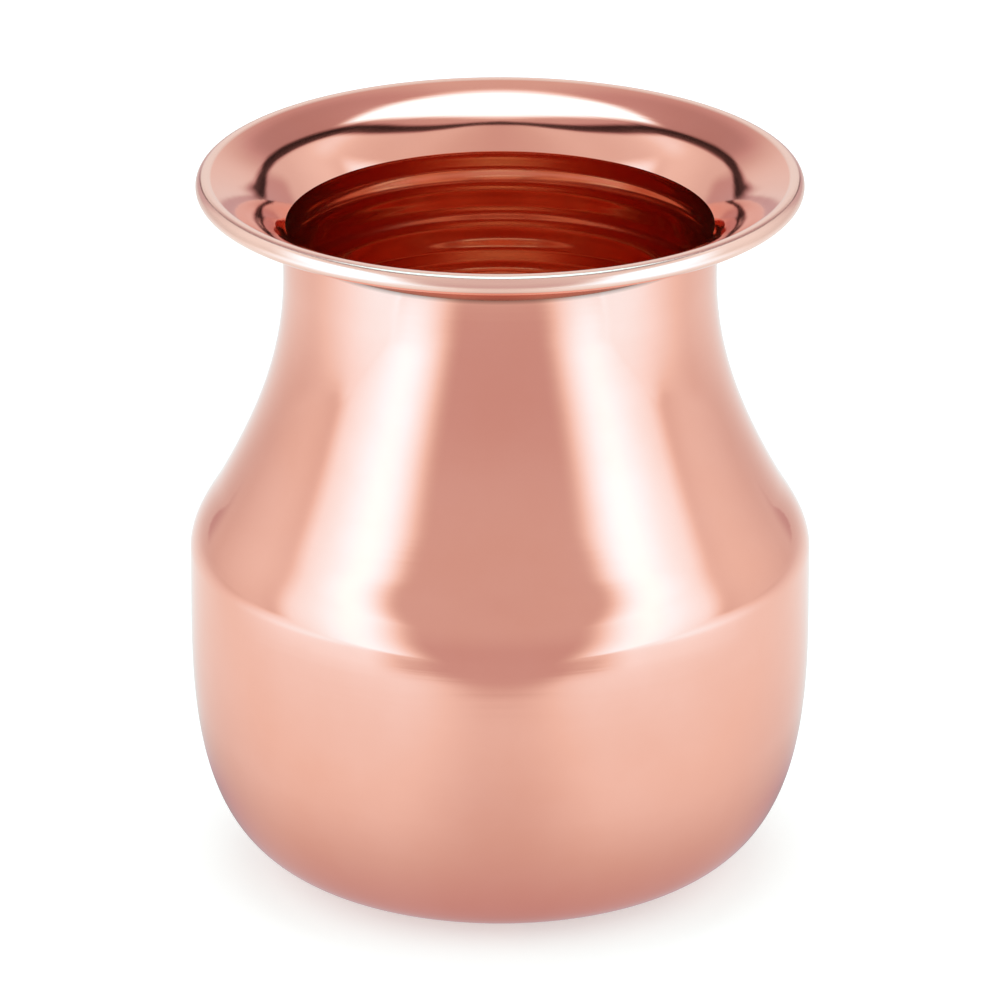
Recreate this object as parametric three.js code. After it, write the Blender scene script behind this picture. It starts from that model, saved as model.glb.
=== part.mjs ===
// Copper lota: a round water pot spun from sheet copper, with a wired rolled rim.
// Units are millimetres, +Z is up, and the origin is the centre of the standing ring, on the table.
// The pot is a drawn lower cup and a spun upper shell, lapped and brazed in the belly wall.
import * as THREE from "three";

// Sheet, and the facets round the pot and round the wire's section
const sheet = 0.6;
const facets = 48;
const wireFacets = 10;

// Foot: a flat standing ring round a shallow dome pressed up in the middle
const ringInner = 20.5;
const ringOuter = 24;
const domeRise = 1.8;
const domeTopPull = 10;
const domeEdgePull = 7;

// Bowl and belly
const bellyRadius = 44;
const bellyStart = 36.5;
const bellyWall = 9.9;
const bowlReach = 18.1;
const bowlRise = 17.8;

// Lap seam in the belly wall, with a fillet of filler whose face is hollow
const seamBelowShoulder = 3.9;
const lapDepth = 3;
const lapClearance = 0.05;
const joggleLength = 1.2;
const fillerHeight = 0.8;
const fillerClearance = 0.05;
const fillerHollow = 0.1;

// Shoulder: the wall turns in over a short rise, to this angle from upright
const shoulderInset = 4.2;
const shoulderRise = 9.5;
const shoulderAngle = THREE.MathUtils.degToRad(28.5);
const shoulderTension = 0.34;

// Neck, and the crease above it where the nearly upright wall turns into the flared lip
const neckInset = 13.5;
const neckAboveShoulder = 31.6;
const neckTension = 0.356;
const creaseOutset = 0.1;
const creaseAboveNeck = 7;
const creaseTension = 0.38;
const wallAngle = THREE.MathUtils.degToRad(2);

// Flared lip, from its angle off upright at the crease to its angle above level at the curl
const flareAngle = THREE.MathUtils.degToRad(38);
const flarePull = 4.5;
const lipPull = 4;
const lipAngle = THREE.MathUtils.degToRad(20);

// The curl at the lip's edge and the wire inside the curl
const rimOutset = 10.7;
const rimAboveNeck = 13.25;
const curlRadius = 1.45;
const curlSweep = THREE.MathUtils.degToRad(300);
const wireClearance = 0.15;

// Heights and radii that follow from the sizes above
const shoulderBottom = bellyStart + bellyWall;
const seamHeight = shoulderBottom - seamBelowShoulder;
const shoulderTop = shoulderBottom + shoulderRise;
const neckRadius = bellyRadius - neckInset;
const neckHeight = shoulderTop + neckAboveShoulder;
const wireRadius = curlRadius - sheet - wireClearance;
const spigotOuter = bellyRadius - sheet - lapClearance;
const spigotInner = spigotOuter - sheet;

// Straight steps in each curve of the profiles
const domeSteps = 5;
const bowlSteps = 13;
const shoulderSteps = 5;
const neckSteps = 8;
const wallSteps = 2;
const flareSteps = 6;
const curlSteps = 14;

const copper = (roughness) =>
  new THREE.MeshStandardMaterial({ color: 0xcd7f5c, roughness, metalness: 1 });
const brass = new THREE.MeshStandardMaterial({ color: 0xc9a35a, roughness: 0.35, metalness: 1 });

const point = (r, z) => new THREE.Vector2(r, z);
const right = point(1, 0);
const up = point(0, 1);

// The unit direction at an angle outward from upright.
const leaning = (angle) => point(Math.sin(angle), Math.cos(angle));

// A curve that leaves start and reaches end in the given directions.
function sweep(start, startWay, end, endWay, startPull, endPull) {
  return new THREE.CubicBezierCurve(
    start,
    start.clone().addScaledVector(startWay, startPull),
    end.clone().addScaledVector(endWay, -endPull),
    end,
  );
}

// Points of a curve and, on the sheet's inner face, points one thickness to its left.
function faces(curve, steps) {
  const outer = [];
  const inner = [];
  for (let i = 0; i <= steps; i += 1) {
    const at = curve.getPoint(i / steps);
    const way = curve.getTangent(i / steps);
    outer.push(at);
    inner.push(point(at.x - way.y * sheet, at.y + way.x * sheet));
  }
  return { outer, inner };
}

// A closed body of revolution. The profile runs anticlockwise in the plane of radius and height.
function turned(name, profile, material) {
  const geometry = new THREE.LatheGeometry(profile, facets);
  geometry.rotateX(Math.PI / 2);
  const mesh = new THREE.Mesh(geometry, material);
  mesh.name = name;
  return mesh;
}

// Lower cup: dome, standing ring, bowl, belly wall and the joggled spigot of the lap seam.
function lowerBowl() {
  const top = point(0, domeRise);
  const dome = faces(
    sweep(top, right, point(ringInner, 0), right, domeTopPull, domeEdgePull),
    domeSteps,
  );
  const bowl = faces(
    sweep(point(ringOuter, 0), right, point(bellyRadius, bellyStart), up, bowlReach, bowlRise),
    bowlSteps,
  );
  const profile = [
    ...dome.outer,
    ...bowl.outer,
    point(bellyRadius, seamHeight),
    point(spigotOuter, seamHeight),
    point(spigotOuter, seamHeight + lapDepth),
    point(spigotInner, seamHeight + lapDepth),
    point(spigotInner, seamHeight),
    point(bellyRadius - sheet, seamHeight - joggleLength),
    ...bowl.inner.reverse(),
    ...dome.inner.reverse(),
  ];
  return turned("lower_bowl", profile, copper(0.12));
}

// The curl's middle, and the place where the lip's under face runs into it.
function rimPlaces() {
  const centre = point(neckRadius + rimOutset, neckHeight + rimAboveNeck);
  const across = point(-Math.sin(lipAngle), Math.cos(lipAngle));
  const edge = centre.clone().addScaledVector(across, curlRadius - sheet);
  return { centre, edge };
}

// Upper shell: skirt over the spigot, shoulder, neck, flared lip and the curl round the wire.
function upperShell() {
  const turn = leaning(-shoulderAngle);
  const shoulderFoot = point(bellyRadius, shoulderBottom);
  const shoulderHead = point(bellyRadius - shoulderInset, shoulderTop);
  const neck = point(neckRadius, neckHeight);
  const crease = point(neckRadius + creaseOutset, neckHeight + creaseAboveNeck);
  const { centre, edge } = rimPlaces();
  const lipEnd = point(Math.cos(lipAngle), Math.sin(lipAngle));
  const shoulderPull = shoulderTension * shoulderFoot.distanceTo(shoulderHead);
  const neckPull = neckTension * shoulderHead.distanceTo(neck);
  const creasePull = creaseTension * neck.distanceTo(crease);
  const parts = [
    [sweep(shoulderFoot, up, shoulderHead, turn, shoulderPull, shoulderPull), shoulderSteps],
    [sweep(shoulderHead, turn, neck, up, neckPull, neckPull), neckSteps],
    [sweep(neck, up, crease, leaning(wallAngle), creasePull, creasePull), wallSteps],
    [sweep(crease, leaning(flareAngle), edge, lipEnd, flarePull, lipPull), flareSteps],
  ];
  const outerFace = [];
  const innerFace = [];
  for (const [curve, steps] of parts) {
    const { outer, inner } = faces(curve, steps);
    outerFace.push(...outer.slice(0, -1));
    innerFace.push(...inner.slice(0, -1));
  }
  // The curl runs from the lip over the wire, down its outside and back under the lip.
  const curl = (radius) =>
    Array.from({ length: curlSteps + 1 }, (_, i) => {
      const angle = Math.PI / 2 + lipAngle - (i / curlSteps) * curlSweep;
      return point(centre.x + radius * Math.cos(angle), centre.y + radius * Math.sin(angle));
    });
  const profile = [
    point(bellyRadius - sheet, seamHeight),
    point(bellyRadius, seamHeight),
    ...outerFace,
    ...curl(curlRadius - sheet),
    ...curl(curlRadius).reverse(),
    ...innerFace.reverse(),
    point(bellyRadius - sheet, seamHeight),
  ];
  return turned("upper_shell", profile, copper(0.12));
}

// A ring of wire held in the curl.
function rimWire() {
  const { centre } = rimPlaces();
  const profile = Array.from({ length: wireFacets + 1 }, (_, i) => {
    const angle = ((i % wireFacets) / wireFacets) * 2 * Math.PI;
    return point(centre.x + wireRadius * Math.cos(angle), centre.y + wireRadius * Math.sin(angle));
  });
  return turned("rim_wire", profile, copper(0.3));
}

// The fillet of filler metal that rests on the spigot and closes the lap inside.
function seamBraze() {
  const wallSide = spigotOuter - fillerClearance;
  const foot = spigotInner;
  const base = seamHeight + lapDepth;
  const hollow = point((foot + wallSide) / 2 + fillerHollow, base + fillerHeight / 2 - fillerHollow);
  const profile = [
    point(foot, base),
    point(wallSide, base),
    point(wallSide, base + fillerHeight),
    hollow,
    point(foot, base),
  ];
  return turned("seam_braze", profile, brass);
}

const lota = new THREE.Group();
lota.add(lowerBowl(), upperShell(), rimWire(), seamBraze());

export default lota;
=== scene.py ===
# %% [markdown]
# A copper lota, a round pot for water. It is a cup drawn from copper sheet, a shell spun from the same
# sheet, a wire in the rolled rim and a fillet of filler inside the seam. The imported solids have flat
# facets, so each is replaced here by a smooth piece of the same section. The rest is the finish of the
# copper and the studio that it mirrors, because a polished surface shows little else.

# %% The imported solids
import math
import bmesh
import bpy
import numpy as np
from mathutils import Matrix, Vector


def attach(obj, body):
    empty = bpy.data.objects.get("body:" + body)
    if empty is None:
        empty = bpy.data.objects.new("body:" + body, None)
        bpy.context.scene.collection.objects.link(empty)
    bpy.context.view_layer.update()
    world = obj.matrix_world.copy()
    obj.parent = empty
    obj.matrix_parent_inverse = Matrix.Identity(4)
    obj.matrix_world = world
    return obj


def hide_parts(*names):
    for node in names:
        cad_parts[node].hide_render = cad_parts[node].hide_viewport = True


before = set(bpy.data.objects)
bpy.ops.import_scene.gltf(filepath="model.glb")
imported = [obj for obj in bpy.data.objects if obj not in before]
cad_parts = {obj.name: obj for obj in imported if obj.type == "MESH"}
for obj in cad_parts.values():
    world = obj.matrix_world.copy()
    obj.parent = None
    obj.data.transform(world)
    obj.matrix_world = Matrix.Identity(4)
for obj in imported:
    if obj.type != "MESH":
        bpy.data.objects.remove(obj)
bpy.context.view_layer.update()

print("solids:", sorted(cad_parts))

# %% [markdown]
# Both sheets are 0.6 mm thick and meet in a lap seam in the upright wall of the belly. These sizes, in
# millimetres, are shared by the pieces that meet there, so they come first, and each other size stands
# beside the piece that it shapes.

# %% Sheet, belly and seam
MM = 0.001
BODY = "root"
SHEET = 0.6
BELLY_RADIUS = 44.0
BELLY_START = 36.5
BELLY_WALL = 9.9
SEAM_BELOW_SHOULDER = 3.9
LAP_DEPTH = 3.0
LAP_CLEARANCE = 0.05

SHOULDER_BOTTOM = BELLY_START + BELLY_WALL
SEAM_HEIGHT = SHOULDER_BOTTOM - SEAM_BELOW_SHOULDER
BELLY_INSIDE = BELLY_RADIUS - SHEET
SPIGOT_OUTER = BELLY_INSIDE - LAP_CLEARANCE
SPIGOT_INNER = SPIGOT_OUTER - SHEET
print("seam at", round(SEAM_HEIGHT, 2), "mm, lapped over", LAP_DEPTH, "mm")

# %% [markdown]
# A spun pot is round, so one section describes each sheet. The section could be a long list of points,
# but its real shape is a few sweeping curves. Each is a cubic curve that leaves and arrives in a known
# direction, and the sheet's other face lies one thickness to its left.

# %% Curves of a section


def point(radius, height):
    return np.array([radius, height], float)


def leaning(angle):
    """Unit direction at an angle outward from upright."""
    return point(math.sin(angle), math.cos(angle))


def sweep(start, start_way, end, end_way, start_pull, end_pull, steps):
    """Points and unit directions of a curve that leaves and arrives in the given directions."""
    a, b, c, d = start, start + start_way * start_pull, end - end_way * end_pull, end
    t = np.linspace(0, 1, steps + 1)[:, None]
    points = (1 - t) ** 3 * a + 3 * (1 - t) ** 2 * t * b + 3 * (1 - t) * t ** 2 * c + t ** 3 * d
    ways = (1 - t) ** 2 * (b - a) + 2 * (1 - t) * t * (c - b) + t ** 2 * (d - c)
    return points, ways / np.linalg.norm(ways, axis=1)[:, None]


def inward(points, ways):
    """The same curve one sheet thickness to its left."""
    return points + SHEET * np.stack([-ways[:, 1], ways[:, 0]], 1)


RIGHT = point(1, 0)
UP = leaning(0)
print("directions:", RIGHT, UP)

# %% [markdown]
# The finish changes over the pot: it is duller inside, darkened with a painted shade in the crease
# under the lip, and rougher at the bead, which is paled with a painted highlight. A mask from the height
# alone couldn't tell the two faces of the sheet apart, so each section gives its points values, which
# the mesh keeps as attributes and the materials read.

# %% Names of the values
INSIDE = "inside"
CREASE = "crease"
BEAD = "bead"
print("values on the sheet:", INSIDE, CREASE, BEAD)

# %% [markdown]
# The lower cup is drawn in one piece: a shallow dome pressed up in the middle, a flat ring that the pot
# stands on, the bowl and the upright wall. At the top the sheet steps in by a little more than its own
# thickness, to make the spigot that the shell slides over. The section runs up the outside, over the
# spigot and back down the inside, so the sheet keeps its real thickness.

# %% Section of the lower cup
RING_INNER = 20.5
RING_OUTER = 24.0
DOME_RISE = 1.8
DOME_TOP_PULL = 10.0
DOME_EDGE_PULL = 7.0
DOME_STEPS = 24
BOWL_REACH = 18.1
BOWL_RISE = 17.8
BOWL_STEPS = 56
JOGGLE_LENGTH = 1.2


def bowl_profile():
    """Section of the lower cup, from the axis under the pot to the axis inside it, and its values."""
    ring_in = point(RING_INNER, 0)
    ring_out = point(RING_OUTER, 0)
    belly = point(BELLY_RADIUS, BELLY_START)
    dome = sweep(point(0, DOME_RISE), RIGHT, ring_in, RIGHT, DOME_TOP_PULL, DOME_EDGE_PULL, DOME_STEPS)
    bowl = sweep(ring_out, RIGHT, belly, UP, BOWL_REACH, BOWL_RISE, BOWL_STEPS)
    seam = [
        point(BELLY_RADIUS, SEAM_HEIGHT),
        point(SPIGOT_OUTER, SEAM_HEIGHT),
        point(SPIGOT_OUTER, SEAM_HEIGHT + LAP_DEPTH),
        point(SPIGOT_INNER, SEAM_HEIGHT + LAP_DEPTH),
        point(SPIGOT_INNER, SEAM_HEIGHT),
        point(BELLY_INSIDE, SEAM_HEIGHT - JOGGLE_LENGTH),
    ]
    outer = [dome[0], bowl[0], seam]
    inner = [inward(*bowl)[::-1], inward(*dome)[::-1]]
    profile = np.concatenate(outer + inner)
    return profile, {INSIDE: np.arange(len(profile)) >= sum(map(len, outer))}


print("points in the cup's section:", len(bowl_profile()[0]))

# %% [markdown]
# The upper shell is spun over a form: a short shoulder that turns in, a long hollow sweep up to the
# neck, a nearly upright wall and a lip that flares from a crease. Four curves follow these. The lip's
# edge is then rolled 300 degrees round the wire, and two arcs one thickness apart make that curl.

# %% Sizes of the upper shell
SHOULDER_INSET = 4.2
SHOULDER_RISE = 9.5
SHOULDER_ANGLE = math.radians(28.5)
SHOULDER_TENSION = 0.34
SHOULDER_STEPS = 20
NECK_INSET = 13.5
NECK_ABOVE_SHOULDER = 31.6
NECK_TENSION = 0.356
NECK_STEPS = 44
CREASE_OUTSET = 0.1
CREASE_ABOVE_NECK = 7.0
CREASE_TENSION = 0.38
WALL_ANGLE = math.radians(2)
WALL_STEPS = 12
FLARE_ANGLE = math.radians(38)
FLARE_PULL = 4.5
FLARE_STEPS = 40
LIP_PULL = 4.0
LIP_ANGLE = math.radians(20)
RIM_OUTSET = 10.7
RIM_ABOVE_NECK = 13.25
CURL_RADIUS = 1.45
CURL_SWEEP = math.radians(300)
CURL_STEPS = 48

SHOULDER_TOP = SHOULDER_BOTTOM + SHOULDER_RISE
NECK_RADIUS = BELLY_RADIUS - NECK_INSET
NECK_HEIGHT = SHOULDER_TOP + NECK_ABOVE_SHOULDER
CURL_MIDDLE = point(NECK_RADIUS + RIM_OUTSET, NECK_HEIGHT + RIM_ABOVE_NECK)
print("neck", round(2 * NECK_RADIUS, 1), "mm wide")
print("rim", round(2 * (CURL_MIDDLE[0] + CURL_RADIUS), 1), "mm wide")

# %% [markdown]
# The section runs from the skirt over the spigot up the outer face, round the curl and back down the
# inner face. Its values come from the same points: the dull inside is the inner face below the crease,
# the painted shade is on the outer face and fades away from the crease, and the bead is the curl.

# %% Section of the upper shell
# How far below and above the crease the painted shade reaches
CREASE_BELOW = 0.4
CREASE_ABOVE = 2.5


def shell_curves():
    """The shell's four outer curves, from the shoulder's foot to the curl, each with its directions."""
    turn = leaning(-SHOULDER_ANGLE)
    foot = point(BELLY_RADIUS, SHOULDER_BOTTOM)
    head = point(BELLY_RADIUS - SHOULDER_INSET, SHOULDER_TOP)
    neck = point(NECK_RADIUS, NECK_HEIGHT)
    crease = neck + point(CREASE_OUTSET, CREASE_ABOVE_NECK)
    along = point(math.cos(LIP_ANGLE), math.sin(LIP_ANGLE))
    across = point(-math.sin(LIP_ANGLE), math.cos(LIP_ANGLE))
    edge = CURL_MIDDLE + across * (CURL_RADIUS - SHEET)
    shoulder_pull = SHOULDER_TENSION * np.linalg.norm(head - foot)
    neck_pull = NECK_TENSION * np.linalg.norm(neck - head)
    crease_pull = CREASE_TENSION * np.linalg.norm(crease - neck)
    return [
        sweep(foot, UP, head, turn, shoulder_pull, shoulder_pull, SHOULDER_STEPS),
        sweep(head, turn, neck, UP, neck_pull, neck_pull, NECK_STEPS),
        sweep(neck, UP, crease, leaning(WALL_ANGLE), crease_pull, crease_pull, WALL_STEPS),
        sweep(crease, leaning(FLARE_ANGLE), edge, along, FLARE_PULL, LIP_PULL, FLARE_STEPS),
    ]


def curl_arcs():
    """The curl's inner and outer arcs, from the lip over the wire and back under the lip."""
    angles = math.pi / 2 + LIP_ANGLE - np.linspace(0, CURL_SWEEP, CURL_STEPS + 1)
    ring = np.stack([np.cos(angles), np.sin(angles)], 1)
    return CURL_MIDDLE + ring * (CURL_RADIUS - SHEET), CURL_MIDDLE + ring * CURL_RADIUS


def shell_profile():
    """Section of the upper shell, with its edge curled round the rim wire, and its values."""
    curves = shell_curves()
    outer = np.concatenate([points[:-1] for points, ways in curves])
    inner = np.concatenate([inward(points, ways)[:-1] for points, ways in curves])
    curl_in, curl_out = curl_arcs()
    skirt = [point(BELLY_INSIDE, SEAM_HEIGHT), point(BELLY_RADIUS, SEAM_HEIGHT)]
    profile = np.concatenate([skirt, outer, curl_in, curl_out[::-1], inner[::-1]])
    place = np.arange(len(profile))
    above_crease = len(curves[-1][0]) - 1
    inside = place >= len(profile) - len(inner) + above_crease
    # The painted shade under the lip: full at the crease and fading above and below it
    over = profile[:, 1] - NECK_HEIGHT - CREASE_ABOVE_NECK
    tarnish_and_shade = np.clip(1 - np.maximum(over / CREASE_ABOVE, -over / CREASE_BELOW), 0, 1)
    start = len(skirt) + len(outer)
    bead = (place >= start) & (place < start + len(curl_in) + len(curl_out))
    return profile, {INSIDE: inside, CREASE: np.where(place < start, tarnish_and_shade, 0), BEAD: bead}


print("points in the shell's section:", len(shell_profile()[0]))

# %% [markdown]
# Two small pieces finish the pot. A wire inside the curl stiffens the rim, and a fillet of filler metal,
# hollow as molten filler sets, closes the lap inside. Neither shows from outside. They are modelled
# because the real pot has them, and each is one closed section.

# %% Sections of the rim wire and of the fillet
WIRE_CLEARANCE = 0.15
WIRE_RADIUS = CURL_RADIUS - SHEET - WIRE_CLEARANCE
WIRE_STEPS = 24
FILLER_HEIGHT = 0.8
FILLER_CLEARANCE = 0.05
FILLER_STEPS = 6


def wire_profile():
    """Round section of the rim wire."""
    angles = np.linspace(0, 2 * math.pi, WIRE_STEPS, endpoint=False)
    return CURL_MIDDLE + WIRE_RADIUS * np.stack([np.cos(angles), np.sin(angles)], 1)


def braze_profile():
    """Hollow fillet of filler on top of the spigot."""
    wall_side = SPIGOT_OUTER - FILLER_CLEARANCE
    base = SEAM_HEIGHT + LAP_DEPTH
    t = np.linspace(0, math.pi / 2, FILLER_STEPS + 1)
    radii = SPIGOT_INNER + (wall_side - SPIGOT_INNER) * np.sin(t)
    slope = np.stack([radii, base + FILLER_HEIGHT * (1 - np.cos(t))], 1)
    return np.concatenate([[point(wall_side, base)], slope[::-1]])


print("wire", round(2 * WIRE_RADIUS, 2), "mm thick, fillet", FILLER_HEIGHT, "mm high")

# %% [markdown]
# A material is a tree of nodes. Every node could be made and linked by hand, but the same few steps
# come back all the time, so short helpers make them. A value that is passed in may be a number or the
# output of another node.

# %% Helpers for nodes


def linked(tree, kind, settings=None, **inputs):
    """A new node with its properties set and its inputs set or linked, by name or as i and a number."""
    node = tree.nodes.new(kind)
    for key, value in (settings or {}).items():
        setattr(node, key, value)
    for key, value in inputs.items():
        numbered = key[0] == "i" and key[1:].isdigit()
        slot = node.inputs[int(key[1:])] if numbered else node.inputs[key.replace("_", " ")]
        if isinstance(value, bpy.types.NodeSocket):
            tree.links.new(value, slot)
        else:
            slot.default_value = value
    return node


def maths(tree, operation, *values):
    """A maths node on sockets or numbers."""
    inputs = {f"i{place}": value for place, value in enumerate(values)}
    return linked(tree, "ShaderNodeMath", {"operation": operation}, **inputs).outputs[0]


def product(tree, first, second):
    """Two values multiplied."""
    return maths(tree, "MULTIPLY", first, second)


def scaled(tree, vector, factor):
    """A vector made longer or shorter."""
    return linked(tree, "ShaderNodeVectorMath", {"operation": "SCALE"}, i0=vector, Scale=factor).outputs[0]


def length(tree, vector):
    """The length of a vector."""
    return linked(tree, "ShaderNodeVectorMath", {"operation": "LENGTH"}, i0=vector).outputs["Value"]


def noise(tree, place, scale, detail, roughness=0.5):
    """Cloudy noise from 0 to 1."""
    settings = {"Vector": place, "Scale": scale, "Detail": detail, "Roughness": roughness}
    return linked(tree, "ShaderNodeTexNoise", **settings).outputs["Fac"]


def group_of(name, inputs, outputs):
    """An empty node group with its inner ends. Inputs and outputs map names to kinds of socket."""
    group = bpy.data.node_groups.new(name, "ShaderNodeTree")
    for way, sockets in (("INPUT", inputs), ("OUTPUT", outputs)):
        for label, kind in sockets.items():
            group.interface.new_socket(label, in_out=way, socket_type="NodeSocket" + kind)
    return group, group.nodes.new("NodeGroupInput"), group.nodes.new("NodeGroupOutput")


print("the nodes are those of version", bpy.app.version_string)

# %% [markdown]
# Spinning and polishing leave marks that run round the pot. Fine ones dull the shine a little, and on
# the inside, which nobody polishes, the tool leaves ridges about 6 mm apart. Both are built once, as a
# group that the materials share. Noise over the radius and height gives rings, with a little of the
# place itself so that they aren't perfect, and a sine wave of the height gives the ridges.

# %% Turning marks
MARK_NOISE = {"across": 900.0, "along": 6.0, "detail": 3.0}
RIDGE_NOISE = {"across": 260.0, "along": 9.0, "detail": 1.0}
RIDGE_STEP = 0.0064
RIDGE_START = 0.0826
RIDGE_WARP = 2.0


def ring_noise(tree, rings, flat, across, along, detail):
    """Noise that changes fast across the rings and slowly along them."""
    parts = scaled(tree, rings, across), scaled(tree, flat, along)
    place = linked(tree, "ShaderNodeVectorMath", {"operation": "ADD"}, i0=parts[0], i1=parts[1])
    return noise(tree, place.outputs[0], 1.0, detail)


def turning_marks():
    """Rings round the axis: fine marks from 0 to 1 and broad ridges from -1 to 1."""
    group, start, end = group_of(
        "turning_marks", {"Position": "Vector"}, {"Marks": "Float", "Ridges": "Float"}
    )
    apart = linked(group, "ShaderNodeSeparateXYZ", i0=start.outputs["Position"])
    height = apart.outputs["Z"]
    flat = linked(group, "ShaderNodeCombineXYZ", X=apart.outputs["X"], Y=apart.outputs["Y"]).outputs[0]
    rings = linked(group, "ShaderNodeCombineXYZ", X=length(group, flat), Z=height).outputs[0]
    marks = ring_noise(group, rings, flat, **MARK_NOISE)
    warp = ring_noise(group, rings, flat, **RIDGE_NOISE)
    turns = maths(group, "DIVIDE", maths(group, "SUBTRACT", height, RIDGE_START), RIDGE_STEP)
    phase = maths(group, "MULTIPLY_ADD", warp, RIDGE_WARP, product(group, turns, 2 * math.pi))
    group.links.new(marks, end.inputs["Marks"])
    group.links.new(maths(group, "SINE", phase), end.inputs["Ridges"])
    return group


MARKS = turning_marks()
print("ridges every", round(RIDGE_STEP / MM, 1), "mm")

# %% [markdown]
# Polished copper is a metal with low roughness. On the real pot its colour drifts where it has begun
# to tarnish, and a soft waviness bends the reflections. The inside is duller, the crease under the lip
# is darkened brown with a painted shade, and the bead is rougher and paled with a painted highlight.
# Painted textures could hold all this, but noise and the values on the sheet follow the shape and stay
# sharp close up. Their sizes, heights and colours come first.

# %% Sizes and colours of the finish
CLOUDS = {"scale": 55.0, "detail": 4.0, "roughness": 0.55}
CLOUD_RANGE = (0.35, 0.8)
MOST_TARNISH = 0.5
WAVES = {"scale": 38.0, "detail": 1.0}
WAVE_HEIGHT = 0.0005
MARK_RANGE = (0.3, 0.7)
MARK_ROUGHNESS = (0.8, 1.25)
MARK_HEIGHT = 0.00001
DULL = (0.83, 0.38, 0.25)
DULLNESS = 0.05
RIDGE_HEIGHT = 0.0002
# A painted shade: the brown that darkens the crease under the lip
PAINTED_SHADE = (0.4, 0.2, 0.15)
# A painted highlight: the pale colour on the bead. WORN below is the bead's extra roughness
PAINTED_HIGHLIGHT = (0.97, 0.6, 0.5)
WORN = 0.13
print("roughness is", DULLNESS, "more inside and", WORN, "more at the bead")

# %% [markdown]
# The metals of the sheet, the wire and the filler differ only in colour, roughness and the strength of
# the marks and waves, so one function builds all three. It lays the colours over each other in order,
# and the bumps too: the waves first, then the ridges, and the fine marks on top.

# %% Metals


def vertex_value(tree, label):
    """A value that the piece's points carry, or 0 where they carry none."""
    return linked(tree, "ShaderNodeAttribute", {"attribute_name": label}).outputs["Fac"]


def spread(tree, value, start, end, low, high):
    """A value between start and end, moved in step between low and high."""
    ends = {"From_Min": start, "From_Max": end, "To_Min": low, "To_Max": high}
    return linked(tree, "ShaderNodeMapRange", Value=value, **ends).outputs[0]


def blended(tree, factor, low, high):
    """A blend of two colours, each a socket or its red, green and blue."""
    ends = [end if isinstance(end, bpy.types.NodeSocket) else (*end, 1) for end in (low, high)]
    node = linked(tree, "ShaderNodeMix", {"data_type": "RGBA"}, i0=factor, i6=ends[0], i7=ends[1])
    return node.outputs[2]


def raised(tree, height, strength, distance, **normal):
    """A bump, over another one if its normal is given."""
    inputs = {"Height": height, "Strength": strength, "Distance": distance, **normal}
    return linked(tree, "ShaderNodeBump", **inputs).outputs[0]


def metal(name, colour, tarnish_and_shade, roughness, marks, wave):
    """Sheet metal with turning marks, a soft waviness and a thin uneven tarnished tone, with a painted
    shade and a painted highlight where its points carry them.
    """
    material = bpy.data.materials.new(name)
    material.use_nodes = True
    tree = material.node_tree
    position = linked(tree, "ShaderNodeTexCoord").outputs["Object"]
    rings = linked(tree, "ShaderNodeGroup", {"node_tree": MARKS}, Position=position).outputs
    inside, crease, bead = (vertex_value(tree, label) for label in (INSIDE, CREASE, BEAD))

    cloud = spread(tree, noise(tree, position, **CLOUDS), *CLOUD_RANGE, 0.0, MOST_TARNISH)
    colours = blended(tree, cloud, colour, tarnish_and_shade)
    # The inside is dull, the crease gets a painted shade and the bead a painted highlight
    for factor, over in ((inside, DULL), (crease, PAINTED_SHADE), (bead, PAINTED_HIGHLIGHT)):
        colours = blended(tree, factor, colours, over)

    fine, coarse = (roughness * part for part in MARK_ROUGHNESS)
    rough = spread(tree, rings["Marks"], *MARK_RANGE, fine, coarse)
    for factor, more in ((inside, DULLNESS), (bead, WORN)):
        rough = maths(tree, "MULTIPLY_ADD", factor, more, rough)

    waves = raised(tree, noise(tree, position, **WAVES), wave, WAVE_HEIGHT)
    ridges = raised(tree, rings["Ridges"], inside, RIDGE_HEIGHT, Normal=waves)
    normal = raised(tree, rings["Marks"], marks, MARK_HEIGHT, Normal=ridges)

    shader = tree.nodes["Principled BSDF"]
    shader.inputs["Metallic"].default_value = 1.0
    tree.links.new(colours, shader.inputs["Base Color"])
    tree.links.new(rough, shader.inputs["Roughness"])
    tree.links.new(normal, shader.inputs["Normal"])
    print(name, "has", len(tree.nodes), "nodes")
    return material


COPPER = metal("polished_copper", (0.93, 0.44, 0.34), (0.88, 0.37, 0.26), 0.07, 0.5, 0.15)
WIRE = metal("copper_wire", (0.78, 0.36, 0.26), (0.6, 0.26, 0.18), 0.3, 0.6, 0.1)
BRASS = metal("brazing_brass", (0.79, 0.54, 0.3), (0.62, 0.38, 0.2), 0.32, 0.6, 0.3)

# %% [markdown]
# Every piece is round, so the spin operator of bmesh makes them all: it turns a section round the axis,
# much as the real shell is spun, and use_merge closes the last step on the first. The points at the
# axis then lie on each other, so doubles are merged before the normals are worked out. The faces are
# smooth, and only edges as sharp as the sheet's own are kept sharp.

# %% Spinning the pieces
TURN_STEPS = 192
EDGE_ANGLE = math.radians(25)
MERGE_DISTANCE = 1e-7


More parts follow.
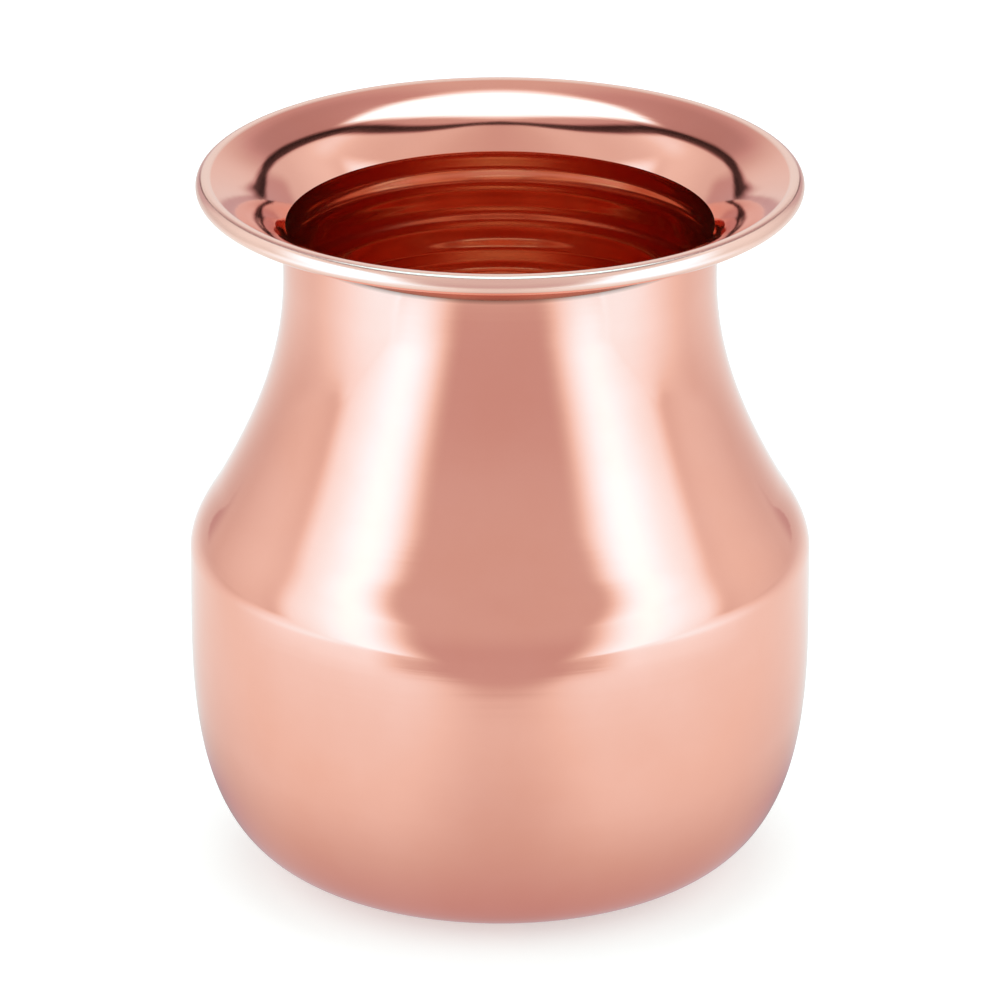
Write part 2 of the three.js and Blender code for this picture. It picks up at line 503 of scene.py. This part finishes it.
def spun(name, profile, values, closed, material, slot, node):
    """Turns a profile and its vertex values round the axis into a smooth piece for a solid."""
    mesh = bpy.data.meshes.new(name)
    bm = bmesh.new()
    layers = {label: bm.verts.layers.float.new(label) for label in values}
    verts = [bm.verts.new((radius * MM, 0, height * MM)) for radius, height in profile]
    for label, along in values.items():
        for vert, value in zip(verts, along):
            vert[layers[label]] = float(value)
    pairs = list(zip(verts, verts[1:])) + ([(verts[-1], verts[0])] if closed else [])
    edges = [bm.edges.new(pair) for pair in pairs]
    bmesh.ops.spin(
        bm,
        geom=verts + edges,
        axis=(0, 0, 1),
        cent=(0, 0, 0),
        angle=2 * math.pi,
        steps=TURN_STEPS,
        use_merge=True,
    )
    bmesh.ops.remove_doubles(bm, verts=bm.verts, dist=MERGE_DISTANCE)
    bmesh.ops.recalc_face_normals(bm, faces=bm.faces)
    for face in bm.faces:
        face.smooth = True
    bm.to_mesh(mesh)
    bm.free()
    mesh.set_sharp_from_angle(angle=EDGE_ANGLE)
    piece = bpy.data.objects.new(name, mesh)
    bpy.context.scene.collection.objects.link(piece)
    piece.data.materials.append(material)
    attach(piece, BODY)
    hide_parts(node)
    print(name, "has", len(mesh.vertices), "points and", len(mesh.polygons), "faces")
    return piece


spun("bowl_sheet", *bowl_profile(), False, COPPER, "polished_copper", "lower_bowl")
spun("shell_sheet", *shell_profile(), True, COPPER, "polished_copper", "upper_shell")
spun("rim_wire_ring", wire_profile(), {}, True, WIRE, "copper_wire", "rim_wire")
spun("seam_fillet", braze_profile(), {}, True, BRASS, "brazing_brass", "seam_braze")

# %% [markdown]
# A polished pot shows the room round it, so the room matters as much as the metal. Lamps and screens
# could be modelled, but the pot sees only their light, so the studio here is a formula of direction.
# Azimuths are in degrees from the camera's side round to the back, alike left and right, and heights
# are in degrees above level. A level of light is 1 where copper shows its own colour.
#
# The shine on the real pot isn't grey: its dim parts are warm and its bright parts are cool. So the
# colour of the light follows its level, and this comes first. It is a group of its own, because the
# table and the studio both use it.

# %% Colour of the light by its level
SHADES = [
    (0.0, (0.0, 0.0, 0.0)), (0.2, (0.3, 0.2, 0.21)), (0.5, (0.6, 0.5, 0.53)), (0.75, (0.74, 0.75, 0.75)),
    (1.1, (0.95, 1.1, 1.12)), (1.5, (1.06, 1.5, 1.72)), (2.1, (1.1, 2.1, 2.7)), (3.0, (1.2, 3.0, 3.4)),
]
BRIGHTEST = 3.4


def place_stops(colour_ramp, stops):
    """Sets the stops of a colour ramp, which starts with two."""
    for stop in stops[2:]:
        colour_ramp.elements.new(1.0)
    for element, (position, colour) in zip(colour_ramp.elements, stops):
        element.position = position
        element.color = [*colour, 1]


def light_shade():
    """The colour of light of some level, over the brightest level."""
    group, start, end = group_of("light_shade", {"Level": "Float"}, {"Color": "Color"})
    part = maths(group, "DIVIDE", start.outputs["Level"], BRIGHTEST)
    node = linked(group, "ShaderNodeValToRGB", i0=part)
    node.color_ramp.interpolation = "LINEAR"
    places = [(level / BRIGHTEST, [part / BRIGHTEST for part in colour]) for level, colour in SHADES]
    place_stops(node.color_ramp, places)
    group.links.new(node.outputs["Color"], end.inputs["Color"])
    return group


LIGHT_SHADE = light_shade()
print("shades of light:", len(SHADES))

# %% [markdown]
# In front of the pot, behind the camera, is a plain wall of middling level, which makes the dark stripe
# down the middle. On each side stands a tall soft light, which makes the bright bands. The bands on
# the pot lean, so the lights lean away from the camera, more above one height and below another, and
# they fade at the foot. Levels are written as stops with a smooth curve between them.

# %% Levels by height and by azimuth
WALL = [(-32, 0.9), (-27, 0.82), (-23, 0.58), (-20, 0.56), (0, 0.56), (14, 0.62), (30, 0.68)]
STRIPS = [
    (25, 0.0), (30, 0.12), (35, 0.62), (40, 1.1), (46, 1.52), (53, 1.74), (60, 1.58), (70, 1.22),
    (80, 1.0), (85, 0.6), (89, 0.28), (95, 0.36), (104, 0.42), (118, 0.32), (130, 0.2), (180, 0.1),
]
# The lean in degrees for each degree of height, the heights of the bends and the lean that is added
# beyond each of them
STRIP_LEAN = 0.22
STRIP_BENDS = (-19, 27)
STRIP_BEND_LEANS = (0.5, 0.85)
# The heights over which the strips come up from their foot, and their share of light below that
STRIP_FOOT = (-31, -17)
STRIP_FOOT_LEVEL = 0.4
print("the wall has", len(WALL), "stops and the strips have", len(STRIPS))

# %% The wall behind the camera and the strips beside it


def ramp(tree, value, stops):
    """The smooth level at a value, between stops of value and level."""
    first, last = stops[0][0], stops[-1][0]
    part = spread(tree, value, first, last, 0.0, 1.0)
    node = linked(tree, "ShaderNodeValToRGB", i0=part)
    node.color_ramp.interpolation = "B_SPLINE"
    largest = max(level for stop, level in stops)
    places = [((stop - first) / (last - first), [level / largest] * 3) for stop, level in stops]
    place_stops(node.color_ramp, places)
    grey = linked(tree, "ShaderNodeSeparateColor", i0=node.outputs["Color"]).outputs["Red"]
    return product(tree, grey, largest)


def smooth_step(tree, value, start, end):
    """0 before start, 1 after end and a smooth rise between them."""
    settings = {"interpolation_type": "SMOOTHSTEP"}
    node = linked(tree, "ShaderNodeMapRange", settings, Value=value, From_Min=start, From_Max=end)
    return node.outputs[0]


def mixed(tree, factor, low, high):
    """A blend of two values."""
    return linked(tree, "ShaderNodeMix", i0=factor, i2=low, i3=high).outputs[0]


def walls_level(tree, azimuth, height):
    """The wall behind the camera and the strips beside it, which lean away from the camera."""
    below = maths(tree, "MINIMUM", maths(tree, "SUBTRACT", height, STRIP_BENDS[0]), 0.0)
    above = maths(tree, "MAXIMUM", maths(tree, "SUBTRACT", height, STRIP_BENDS[1]), 0.0)
    lean_above = product(tree, above, STRIP_BEND_LEANS[1])
    bent = maths(tree, "MULTIPLY_ADD", below, STRIP_BEND_LEANS[0], lean_above)
    lean = maths(tree, "MULTIPLY_ADD", height, STRIP_LEAN, bent)
    strips = ramp(tree, maths(tree, "SUBTRACT", azimuth, lean), STRIPS)
    foot = mixed(tree, smooth_step(tree, height, *STRIP_FOOT), STRIP_FOOT_LEVEL, 1.0)
    return maths(tree, "MULTIPLY_ADD", strips, foot, ramp(tree, height, WALL))


print("the strips lean", STRIP_LEAN, "degrees for each degree of height")

# %% [markdown]
# The lower half of the pot mirrors the table, which ends a little in front of it. A real table is lit
# by the same lights and is darkest beside the foot. Here the metal sees its level by distance from the
# axis in metres, toward the camera's side, to the left and right and to the back, with smooth turns
# between the three. At its front edge and far away it takes the level of what is beyond, so that no
# hard line crosses the belly.

# %% Levels on the table
GLOW_FRONT = [
    (0.03, 0.4), (0.05, 0.69), (0.07, 0.79), (0.1, 0.92), (0.135, 0.98), (0.15, 0.82), (0.16, 0.58),
    (0.18, 0.56), (0.6, 0.56),
]
GLOW_SIDE = [
    (0.03, 0.4), (0.05, 0.78), (0.07, 1.06), (0.1, 1.14), (0.135, 1.24), (0.155, 1.5), (0.2, 1.97),
    (0.28, 1.82), (0.6, 1.6),
]
GLOW_BACK = [
    (0.03, 0.15), (0.05, 0.42), (0.06, 0.64), (0.075, 0.9), (0.1, 1.0), (0.14, 1.12), (0.25, 0.98),
    (0.4, 0.84), (0.6, 0.8),
]
# Azimuths of the turn to the side, near and far, the distances between which the one becomes the
# other, and azimuths of the turn to the back
GLOW_TURNS = (2, 32)
GLOW_FAR_TURNS = (24, 45)
GLOW_TURN_CHANGE = (0.144, 0.158)
GLOW_FADES = (60, 115)
# Where the level turns into that of what is beyond, at the front edge and far away, at which height
# that is read, and how much further round
GLOW_EDGE = (0.152, 0.137)
EDGE_HEIGHT = -20
EDGE_TURN = 1.0
GLOW_FAR = (0.3, 1.0)
FAR_HEIGHT = -3
print("stops of the table's level:", len(GLOW_FRONT), len(GLOW_SIDE), len(GLOW_BACK))

# %% The table's level by place


def azimuth_of(tree, way):
    """Degrees round from the camera's side, alike left and right."""
    aside = maths(tree, "ABSOLUTE", way.outputs["X"])
    front = maths(tree, "SUBTRACT", 0.0, way.outputs["Y"])
    return maths(tree, "DEGREES", maths(tree, "ARCTAN2", aside, front))


def table_glow():
    """The table's level by place, as the metal shows it."""
    group, start, end = group_of("table_glow", {"Position": "Vector"}, {"Level": "Float"})
    place = linked(group, "ShaderNodeSeparateXYZ", i0=start.outputs["Position"])
    azimuth = azimuth_of(group, place)
    distance = length(group, start.outputs["Position"])
    front, side, back = (ramp(group, distance, stops) for stops in (GLOW_FRONT, GLOW_SIDE, GLOW_BACK))
    turn = mixed(
        group,
        smooth_step(group, distance, *GLOW_TURN_CHANGE),
        smooth_step(group, azimuth, *GLOW_TURNS),
        smooth_step(group, azimuth, *GLOW_FAR_TURNS),
    )
    turned = mixed(group, turn, front, side)
    glow = mixed(group, smooth_step(group, azimuth, *GLOW_FADES), turned, back)
    forward = maths(group, "SUBTRACT", 0.0, place.outputs["Y"])
    beyond = walls_level(group, maths(group, "ADD", azimuth, EDGE_TURN), EDGE_HEIGHT)
    near = mixed(group, smooth_step(group, forward, *GLOW_EDGE), beyond, glow)
    far = smooth_step(group, distance, *GLOW_FAR)
    level = mixed(group, far, near, walls_level(group, azimuth, FAR_HEIGHT))
    group.links.new(level, end.inputs["Level"])
    return group


TABLE_GLOW = table_glow()
print("nodes of the table's level:", len(TABLE_GLOW.nodes))

# %% [markdown]
# The table itself is one flat face. The camera should see it plain and white, with the pot's soft
# shadow, while the metal should mirror the glow. Light Path tells a ray from the camera from one that
# the metal mirrors, so one material can be a pale matt surface with a little lift, and the glow too.

# %% The table
TABLE_FRONT = 0.152
TABLE_SIDE = 1.2
TABLE_BACK = 1.4
TABLE_COLOUR = (0.7, 0.8, 0.8)
TABLE_LIFT = 0.47
TABLE_ROUGHNESS = 0.9
WHITE = (1, 1, 1)
BLACK = (0, 0, 0)


def table_finish():
    """White to the camera and its glow to the metal."""
    material = bpy.data.materials.new("pale_table")
    material.use_nodes = True
    tree = material.node_tree
    ray = linked(tree, "ShaderNodeLightPath").outputs
    mirrored = ray["Is Glossy Ray"]
    place = linked(tree, "ShaderNodeTexCoord").outputs["Object"]
    glow = linked(tree, "ShaderNodeGroup", {"node_tree": TABLE_GLOW}, Position=place).outputs["Level"]
    shade = linked(tree, "ShaderNodeGroup", {"node_tree": LIGHT_SHADE}, Level=glow).outputs["Color"]
    lift = product(tree, ray["Is Camera Ray"], TABLE_LIFT)
    shader = tree.nodes["Principled BSDF"]
    shader.inputs["Roughness"].default_value = TABLE_ROUGHNESS
    shader.inputs["Specular IOR Level"].default_value = 0.0
    tree.links.new(blended(tree, mirrored, TABLE_COLOUR, BLACK), shader.inputs["Base Color"])
    tree.links.new(blended(tree, mirrored, WHITE, shade), shader.inputs["Emission Color"])
    tree.links.new(mixed(tree, mirrored, lift, BRIGHTEST), shader.inputs["Emission Strength"])
    return material


corners = [
    (-TABLE_SIDE, -TABLE_FRONT, 0),
    (TABLE_SIDE, -TABLE_FRONT, 0),
    (TABLE_SIDE, TABLE_BACK, 0),
    (-TABLE_SIDE, TABLE_BACK, 0),
]
table_mesh = bpy.data.meshes.new("table")
table_mesh.from_pydata(corners, [], [(0, 1, 2, 3)])
table = bpy.data.objects.new("table", table_mesh)
bpy.context.scene.collection.objects.link(table)
table.data.materials.append(table_finish())
print("table", 2 * TABLE_SIDE, "m by", round(TABLE_FRONT + TABLE_BACK, 3), "m")

# %% [markdown]
# The lip is a hollow mirror that looks up and round the whole room, so the studio goes on overhead.
# The near side has the wall and the strips below and a calmer part above them, up to a thin dark gap.
# That part is brightest a little behind the pot's sides.

# %% The near side, up to the gap
STRIP_TOP = (37, 46)
HIGH = [
    (0, 0.64), (35, 0.74), (60, 0.92), (80, 0.85), (100, 0.93), (113, 1.05), (123, 1.45), (131, 1.15),
    (138, 0.8), (146, 0.6), (180, 0.7),
]
# A darker stretch low down towards the back: its azimuths, its heights and its level
DIM_TURNS = (136, 144)
DIM_HEIGHTS = (26, 18)
DIM_LEVEL = 0.5


def near_side(tree, azimuth, height):
    """The wall behind the camera, the strips beside it and what is above them."""
    dim = product(tree, smooth_step(tree, azimuth, *DIM_TURNS), smooth_step(tree, height, *DIM_HEIGHTS))
    low = mixed(tree, dim, walls_level(tree, azimuth, height), DIM_LEVEL)
    return mixed(tree, smooth_step(tree, height, *STRIP_TOP), low, ramp(tree, azimuth, HIGH))


print("stops of the high part:", len(HIGH))

# %% [markdown]
# Past the gap lie a bright box overhead and the dim room behind it. The box's edges are bowed, which
# is simplest to write on a flat ceiling, so a direction is made a place on one: its parts sideways and
# backward are divided by its part upward. That part has a least value, so that nothing divides by 0.

# %% The far side, down to the gap
# The box overhead, by tangents from the zenith: two bowed edges across, and their softness
BOX_NEAR = (-0.02, 1.9)
BOX_FAR = (0.38, 0.4)
BOX_SOFT = 0.06
BOX_LEVEL = 3.0
LEAST_RISE = 0.01
# The room behind by height, beside the middle and in the middle of the back
BEHIND = [(0, 0.98), (19, 0.98), (28, 0.5), (34, 0.36), (55, 0.44), (75, 0.62)]
FAR_BEHIND = [(0, 0.9), (48, 1.0), (58, 0.7), (75, 0.66)]
FAR_TURNS = (154, 172)


def far_side(tree, way, azimuth, height):
    """The room behind and the box overhead."""
    rise = maths(tree, "MAXIMUM", way.outputs["Z"], LEAST_RISE)
    across = maths(tree, "DIVIDE", way.outputs["X"], rise)
    square = product(tree, across, across)
    back = maths(tree, "DIVIDE", way.outputs["Y"], rise)
    near_edge, far_edge = (
        maths(tree, "MULTIPLY_ADD", square, bow, middle) for middle, bow in (BOX_NEAR, BOX_FAR)
    )
    past_near = smooth_step(tree, maths(tree, "SUBTRACT", back, near_edge), -BOX_SOFT, BOX_SOFT)
    before_far = smooth_step(tree, maths(tree, "SUBTRACT", far_edge, back), -BOX_SOFT, BOX_SOFT)
    beside, middle = (ramp(tree, height, stops) for stops in (BEHIND, FAR_BEHIND))
    room = mixed(tree, smooth_step(tree, azimuth, *FAR_TURNS), beside, middle)
    return mixed(tree, product(tree, past_near, before_far), room, BOX_LEVEL)


print("level of the box overhead:", BOX_LEVEL)

# %% [markdown]
# The gap's height changes with the azimuth, as the edge of a large screen does, and it is wider at the
# sides. It gives the thin dark line that runs round inside the lip. The near side shows below it and
# the far side above it, and together they are the whole studio, one group that the world uses.

# %% The gap, and the whole studio
# The gap's height by azimuth, where it fades out, where it widens, half its width before and after
# that, how much of the width is fully dark, how softly the two sides meet in it, its level and how
# much it hides
GAP = [
    (0, 83), (25, 82.5), (50, 80), (70, 74), (85, 69.5), (100, 65), (115, 60), (126, 55.5), (133, 48.5),
    (139, 41.5), (145, 33), (149, 26.5), (152, 20.5), (157, 11.5), (163, 7.5), (180, 4),
]
GAP_ENDS = (166, 158)
GAP_TURNS = (30, 80)
GAP_WIDTHS = (2.8, 5.6)
GAP_CORE = 0.35
GAP_SOFT = 1.0
GAP_LEVEL = 0.0
GAP_DEPTH = 0.95


def studio_level():
    """The studio's level by direction."""
    group, start, end = group_of("studio_level", {"Direction": "Vector"}, {"Level": "Float"})
    way = linked(group, "ShaderNodeSeparateXYZ", i0=start.outputs["Direction"])
    azimuth = azimuth_of(group, way)
    height = maths(group, "DEGREES", maths(group, "ARCSINE", way.outputs["Z"]))
    over = maths(group, "SUBTRACT", height, ramp(group, azimuth, GAP))
    near = near_side(group, azimuth, height)
    far = far_side(group, way, azimuth, height)
    lit = mixed(group, smooth_step(group, over, -GAP_SOFT, GAP_SOFT), near, far)
    half = mixed(group, smooth_step(group, azimuth, *GAP_TURNS), *GAP_WIDTHS)
    dark = smooth_step(group, maths(group, "ABSOLUTE", over), half, product(group, half, GAP_CORE))
    there = product(group, smooth_step(group, azimuth, *GAP_ENDS), GAP_DEPTH)
    level = mixed(group, product(group, dark, there), lit, GAP_LEVEL)
    group.links.new(level, end.inputs["Level"])
    return group


STUDIO_LEVEL = studio_level()
print("nodes of the studio's level:", len(STUDIO_LEVEL.nodes))

# %% [markdown]
# The world lights the scene. A ray that the metal mirrors sees the studio in its shades, and a ray from
# the matt table sees it in grey, which keeps the pot's shadow neutral. The camera sees plain white, at
# a strength of 1, so the background comes from no extra light on the pot.

# %% The world
scene = bpy.context.scene
world = bpy.data.worlds.new("studio")
scene.world = world
world.use_nodes = True
sky = world.node_tree
toward = linked(sky, "ShaderNodeTexCoord").outputs["Generated"]
level = linked(sky, "ShaderNodeGroup", {"node_tree": STUDIO_LEVEL}, Direction=toward).outputs["Level"]
shade = linked(sky, "ShaderNodeGroup", {"node_tree": LIGHT_SHADE}, Level=level).outputs["Color"]
ray = linked(sky, "ShaderNodeLightPath").outputs
seen = blended(sky, ray["Is Glossy Ray"], product(sky, level, 1 / BRIGHTEST), shade)
background = sky.nodes["Background"].inputs
sky.links.new(blended(sky, ray["Is Camera Ray"], seen, WHITE), background["Color"])
sky.links.new(mixed(sky, ray["Is Camera Ray"], BRIGHTEST, 1.0), background["Strength"])
print("world:", world.name)

# %% [markdown]
# The photograph looks down on the pot at a little over 20 degrees, from over a metre away. The angle
# and the distance come from fitting the pot's outline to it, and a long lens fills the picture from
# there. Metal mirrors itself inside the mouth many times over, so the rays may bounce more often.

# %% Camera and render settings
CAMERA_ELEVATION = math.radians(21.567)
CAMERA_DISTANCE = 1.3
CAMERA_TARGET = Vector((0, 0, 0.05303))
FOCAL_LENGTH = 329.84
SENSOR_WIDTH = 36.0
BOUNCES = 16

lens = bpy.data.cameras.new("camera")
lens.lens = FOCAL_LENGTH
lens.sensor_width = SENSOR_WIDTH
camera = bpy.data.objects.new("camera", lens)
back = Vector((0, -math.cos(CAMERA_ELEVATION), math.sin(CAMERA_ELEVATION)))
camera.location = CAMERA_TARGET + back * CAMERA_DISTANCE
camera.rotation_euler = (-back).to_track_quat("-Z", "Y").to_euler()
scene.collection.objects.link(camera)
scene.camera = camera

scene.view_settings.view_transform = "Standard"
scene.cycles.max_bounces = BOUNCES
scene.cycles.glossy_bounces = BOUNCES
scene.cycles.use_denoising = True
print("camera at", tuple(round(part, 3) for part in camera.location))
